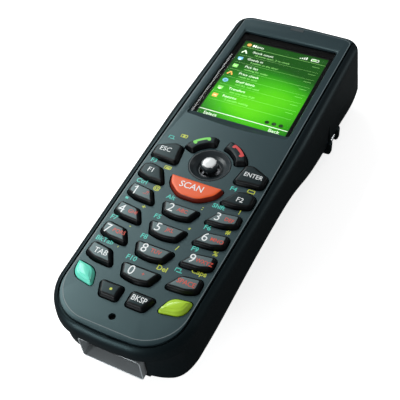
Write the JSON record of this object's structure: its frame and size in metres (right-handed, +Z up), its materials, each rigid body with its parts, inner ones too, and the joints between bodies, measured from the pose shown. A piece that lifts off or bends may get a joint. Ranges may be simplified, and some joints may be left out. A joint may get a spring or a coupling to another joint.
{
  "type": "portable barcode data terminal",
  "caption": "Bar-shaped hand-held barcode data terminal with a portrait display, a joystick, a raised keypad, a scanning end, a foot dock connector and a hinged battery cover.",
  "frame": {"origin": "on the surface that the terminal lies on, under the middle of its width and 1 mm from the middle of its length", "axes": "+Z up out of the display, +Y along the terminal towards the scanning end, +X to the right of the display"},
  "size_m": [0.0552, 0.1552, 0.0317],
  "materials": {
    "slate_paint": "satin blue-grey paint on the front panel",
    "black_case": "near-black fine-grained polycarbonate",
    "black_rubber": "black sealing rubber",
    "clear_window": "clear cover window",
    "display": "lit display",
    "steel_tray": "pressed steel",
    "silicone": "dark silicone",
    "film": "polyester film",
    "board": "green glass-epoxy board",
    "key_dark": "dark satin key",
    "key_grey": "grey satin key top",
    "key_orange": "orange key",
    "key_teal": "mint key",
    "key_lime": "yellow-green key",
    "stick": "white stick tip on a dark stem",
    "dish": "dark moulded bowl",
    "steel": "stainless steel",
    "battery": "sleeved lithium-ion pack",
    "contacts": "gold-plated contacts",
    "black_moulding": "black insulator",
    "scan_red": "dark red scan window",
    "clear_light": "clear light pipe",
    "engine": "black engine chassis",
    "screw_steel": "blackened steel"
  },
  "bodies": {
    "case": {"antenna": "contacts", "battery_pack": "battery", "battery_terminals": "black_moulding", "board_screws": "screw_steel", "case_screws": "screw_steel", "cover_seal": "black_rubber", "display_gasket": "black_rubber", "display_module": "display", "display_tray": "steel_tray", "display_window": "clear_window", "dock_collar": "black_case", "dock_connector": "black_moulding", "dock_contacts": "contacts", "dock_shield": "steel", "dome_sheet": "film", "front_housing": "black_case", "front_panel": "slate_paint", "housing_seal": "black_rubber", "joystick_base": "steel_tray", "joystick_dish": "dish", "keypad_mat": "silicone", "main_board": "board", "microphone": "steel_tray", "radio_card": "board", "rear_housing": "black_case", "scan_engine": "engine", "scan_window": "scan_red", "scan_window_seal": "black_rubber", "speaker": "engine", "status_light": "clear_light", "strap_bar": "steel", "vibration_motor": "steel"},
    "key_0": {"key_0": "key_grey"},
    "key_1": {"key_1": "key_grey"},
    "key_2": {"key_2": "key_grey"},
    "key_3": {"key_3": "key_grey"},
    "key_4": {"key_4": "key_grey"},
    "key_5": {"key_5": "key_grey"},
    "key_6": {"key_6": "key_grey"},
    "key_7": {"key_7": "key_grey"},
    "key_8": {"key_8": "key_grey"},
    "key_9": {"key_9": "key_grey"},
    "key_backspace": {"key_backspace": "key_dark"},
    "key_call": {"key_call": "key_dark"},
    "key_end": {"key_end": "key_dark"},
    "key_enter": {"key_enter": "key_dark"},
    "key_escape": {"key_escape": "key_dark"},
    "key_f1": {"key_f1": "key_dark"},
    "key_f2": {"key_f2": "key_dark"},
    "key_function_left": {"key_function_left": "key_teal"},
    "key_function_right": {"key_function_right": "key_lime"},
    "key_point": {"key_point": "key_dark"},
    "key_scan": {"key_scan": "key_orange"},
    "key_space": {"key_space": "key_dark"},
    "key_tab": {"key_tab": "key_dark"},
    "joystick_gimbal": {"joystick_gimbal": "steel"},
    "joystick_cap": {"joystick_cap": "stick"},
    "battery_cover": {"battery_cover": "black_case"},
    "battery_latch": {"battery_latch": "key_dark"}
  },
  "joints": [
    {"name": "key_0_press", "type": "slide", "parent": "case", "child": "key_0", "axis": [0, 0, -1], "range_m": [0, 0.0008], "stiffness_N_per_m": 600, "springref_m": -0.0004},
    {"name": "key_1_press", "type": "slide", "parent": "case", "child": "key_1", "axis": [0, 0, -1], "range_m": [0, 0.0008], "stiffness_N_per_m": 600, "springref_m": -0.0004},
    {"name": "key_2_press", "type": "slide", "parent": "case", "child": "key_2", "axis": [0, 0, -1], "range_m": [0, 0.0008], "stiffness_N_per_m": 600, "springref_m": -0.0004},
    {"name": "key_3_press", "type": "slide", "parent": "case", "child": "key_3", "axis": [0, 0, -1], "range_m": [0, 0.0008], "stiffness_N_per_m": 600, "springref_m": -0.0004},
    {"name": "key_4_press", "type": "slide", "parent": "case", "child": "key_4", "axis": [0, 0, -1], "range_m": [0, 0.0008], "stiffness_N_per_m": 600, "springref_m": -0.0004},
    {"name": "key_5_press", "type": "slide", "parent": "case", "child": "key_5", "axis": [0, 0, -1], "range_m": [0, 0.0008], "stiffness_N_per_m": 600, "springref_m": -0.0004},
    {"name": "key_6_press", "type": "slide", "parent": "case", "child": "key_6", "axis": [0, 0, -1], "range_m": [0, 0.0008], "stiffness_N_per_m": 600, "springref_m": -0.0004},
    {"name": "key_7_press", "type": "slide", "parent": "case", "child": "key_7", "axis": [0, 0, -1], "range_m": [0, 0.0008], "stiffness_N_per_m": 600, "springref_m": -0.0004},
    {"name": "key_8_press", "type": "slide", "parent": "case", "child": "key_8", "axis": [0, 0, -1], "range_m": [0, 0.0008], "stiffness_N_per_m": 600, "springref_m": -0.0004},
    {"name": "key_9_press", "type": "slide", "parent": "case", "child": "key_9", "axis": [0, 0, -1], "range_m": [0, 0.0008], "stiffness_N_per_m": 600, "springref_m": -0.0004},
    {"name": "key_backspace_press", "type": "slide", "parent": "case", "child": "key_backspace", "axis": [0, 0, -1], "range_m": [0, 0.0008], "stiffness_N_per_m": 600, "springref_m": -0.0004},
    {"name": "key_call_press", "type": "slide", "parent": "case", "child": "key_call", "axis": [0, 0, -1], "range_m": [0, 0.0008], "stiffness_N_per_m": 600, "springref_m": -0.0004},
    {"name": "key_end_press", "type": "slide", "parent": "case", "child": "key_end", "axis": [0, 0, -1], "range_m": [0, 0.0008], "stiffness_N_per_m": 600, "springref_m": -0.0004},
    {"name": "key_enter_press", "type": "slide", "parent": "case", "child": "key_enter", "axis": [0, 0, -1], "range_m": [0, 0.0008], "stiffness_N_per_m": 600, "springref_m": -0.0004},
    {"name": "key_escape_press", "type": "slide", "parent": "case", "child": "key_escape", "axis": [0, 0, -1], "range_m": [0, 0.0008], "stiffness_N_per_m": 600, "springref_m": -0.0004},
    {"name": "key_f1_press", "type": "slide", "parent": "case", "child": "key_f1", "axis": [0, 0, -1], "range_m": [0, 0.0008], "stiffness_N_per_m": 600, "springref_m": -0.0004},
    {"name": "key_f2_press", "type": "slide", "parent": "case", "child": "key_f2", "axis": [0, 0, -1], "range_m": [0, 0.0008], "stiffness_N_per_m": 600, "springref_m": -0.0004},
    {"name": "key_function_left_press", "type": "slide", "parent": "case", "child": "key_function_left", "axis": [0, 0, -1], "range_m": [0, 0.0008], "stiffness_N_per_m": 600, "springref_m": -0.0004},
    {"name": "key_function_right_press", "type": "slide", "parent": "case", "child": "key_function_right", "axis": [0, 0, -1], "range_m": [0, 0.0008], "stiffness_N_per_m": 600, "springref_m": -0.0004},
    {"name": "key_point_press", "type": "slide", "parent": "case", "child": "key_point", "axis": [0, 0, -1], "range_m": [0, 0.0008], "stiffness_N_per_m": 600, "springref_m": -0.0004},
    {"name": "key_scan_press", "type": "slide", "parent": "case", "child": "key_scan", "axis": [0, 0, -1], "range_m": [0, 0.0008], "stiffness_N_per_m": 600, "springref_m": -0.0004},
    {"name": "key_space_press", "type": "slide", "parent": "case", "child": "key_space", "axis": [0, 0, -1], "range_m": [0, 0.0008], "stiffness_N_per_m": 600, "springref_m": -0.0004},
    {"name": "key_tab_press", "type": "slide", "parent": "case", "child": "key_tab", "axis": [0, 0, -1], "range_m": [0, 0.0008], "stiffness_N_per_m": 600, "springref_m": -0.0004},
    {"name": "joystick_left_right", "type": "hinge", "parent": "case", "child": "joystick_gimbal", "pos_m": [0, -0.0058, 0.0256], "axis": [0, 1, 0], "range_deg": [-8, 8], "stiffness_Nm_per_rad": 0.02},
    {"name": "joystick_up_down", "type": "hinge", "parent": "joystick_gimbal", "child": "joystick_cap", "pos_m": [0, -0.0058, 0.0256], "axis": [1, 0, 0], "range_deg": [-8, 8], "stiffness_Nm_per_rad": 0.02},
    {"name": "battery_cover_swing", "type": "hinge", "parent": "case", "child": "battery_cover", "pos_m": [0, -0.0558, 0.0118], "axis": [-1, 0, 0], "range_deg": [0, 60]},
    {"name": "battery_latch_slide", "type": "slide", "parent": "case", "child": "battery_latch", "axis": [0, -1, 0], "range_m": [0, 0.003]}
  ]
}
